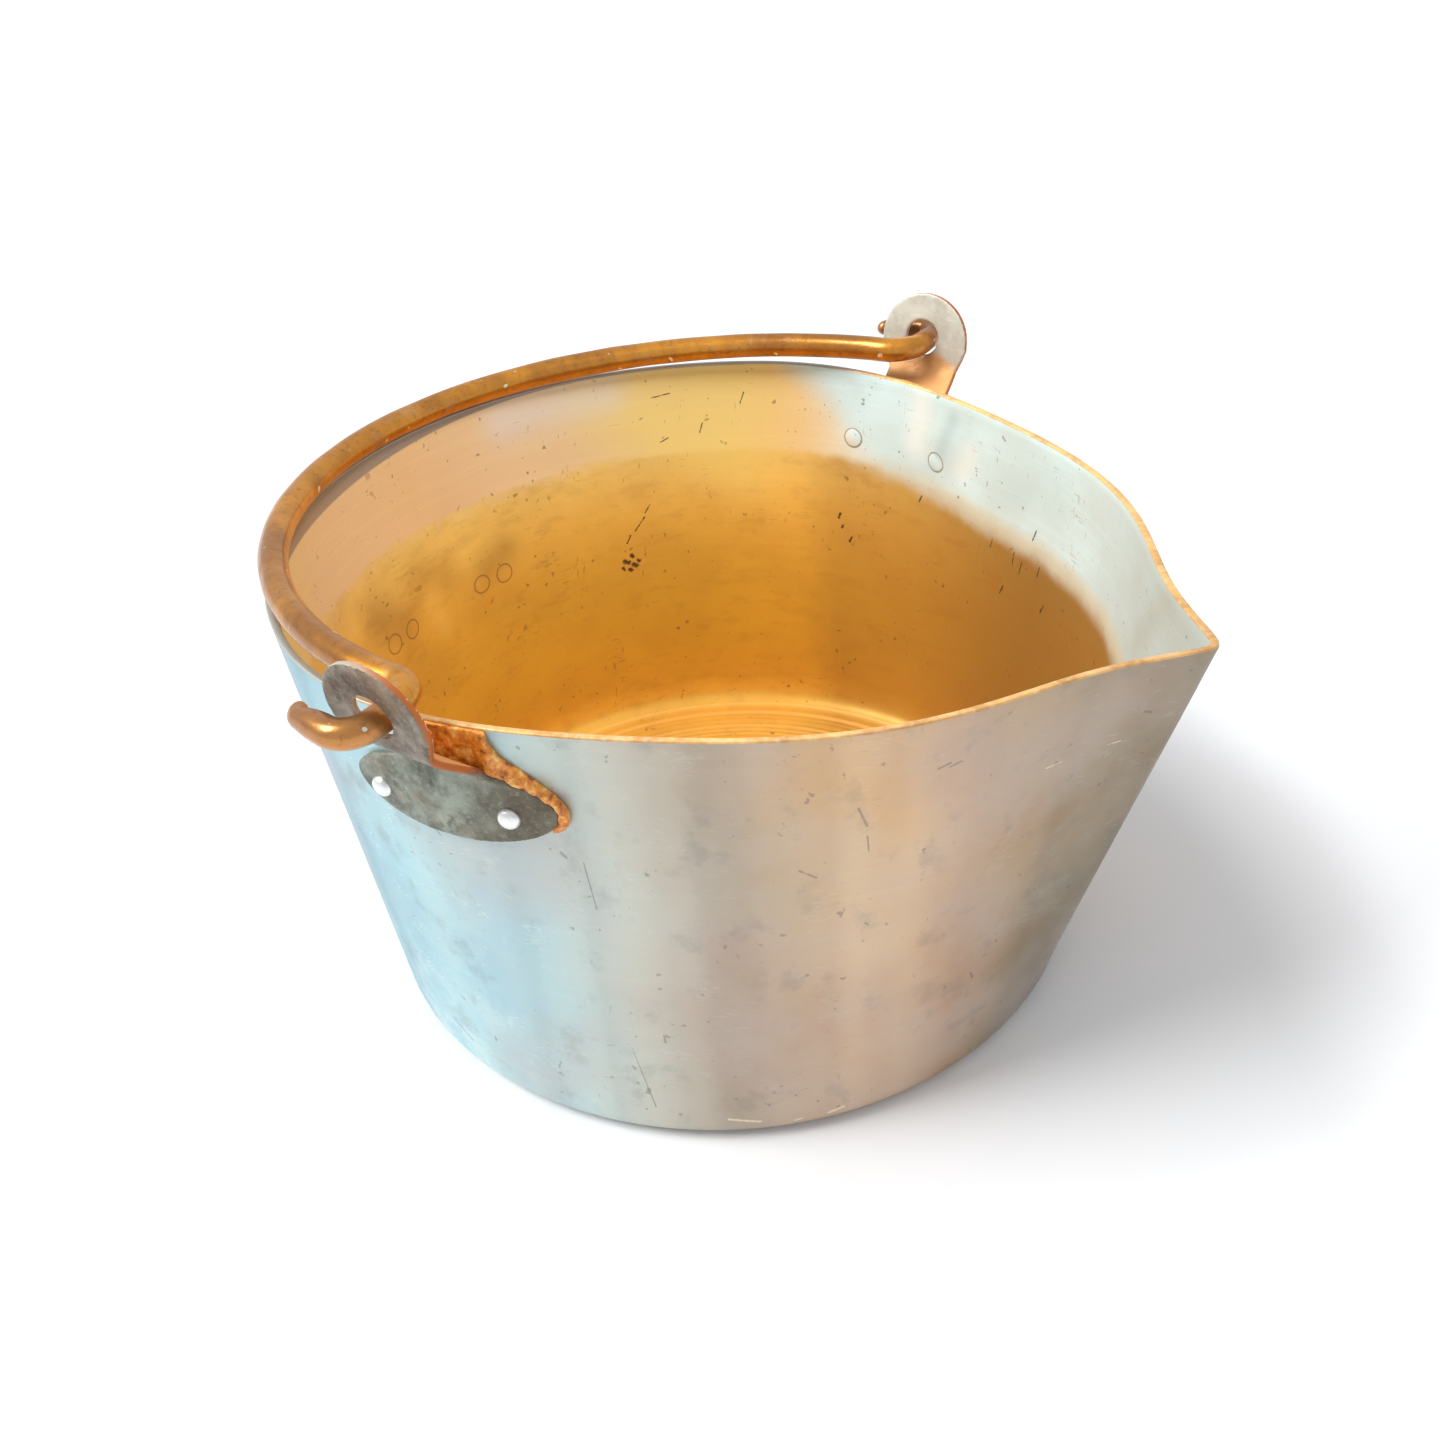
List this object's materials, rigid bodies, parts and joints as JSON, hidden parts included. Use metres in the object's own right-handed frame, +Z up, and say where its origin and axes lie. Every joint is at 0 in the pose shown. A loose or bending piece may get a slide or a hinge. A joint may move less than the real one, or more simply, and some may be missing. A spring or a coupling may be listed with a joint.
{
  "type": "preserving pan",
  "caption": "Tapered sheet-metal preserving pan with a pouring lip, a swinging bail handle hooked into riveted ears, and a fixed tipping handle low on the back.",
  "frame": {"origin": "centre of the flat underside, on the axis of the round foot", "axes": "+Z up along the pan's axis, +X towards the pouring lip, the two bail ears on +Y (left) and -Y (right)"},
  "size_m": [0.368, 0.351, 0.1983],
  "materials": {
    "pan_metal": "worn satin sheet, golden and heat-tinted inside, grey outside",
    "ear_metal": "matt, stained, orange along the edges",
    "bail_metal": "brown copper-coloured rod, rubbed bright on top",
    "rivet_metal": "bright domed heads"
  },
  "bodies": {
    "pan": {"pan_body": "pan_metal", "bail_ear_left": "ear_metal", "bail_ear_right": "ear_metal", "ear_rivet_left_back": "rivet_metal", "ear_rivet_left_front": "rivet_metal", "ear_rivet_right_back": "rivet_metal", "ear_rivet_right_front": "rivet_metal", "tipping_handle": "ear_metal", "tipping_rivet_left_inner": "rivet_metal", "tipping_rivet_left_outer": "rivet_metal", "tipping_rivet_right_inner": "rivet_metal", "tipping_rivet_right_outer": "rivet_metal"},
    "bail": {"bail_handle": "bail_metal"}
  },
  "joints": [
    {"name": "bail_swing", "type": "hinge", "parent": "pan", "child": "bail", "pos_m": [0.004, 0, 0.1795], "axis": [0, 1, 0], "range_deg": [0, 184]}
  ]
}
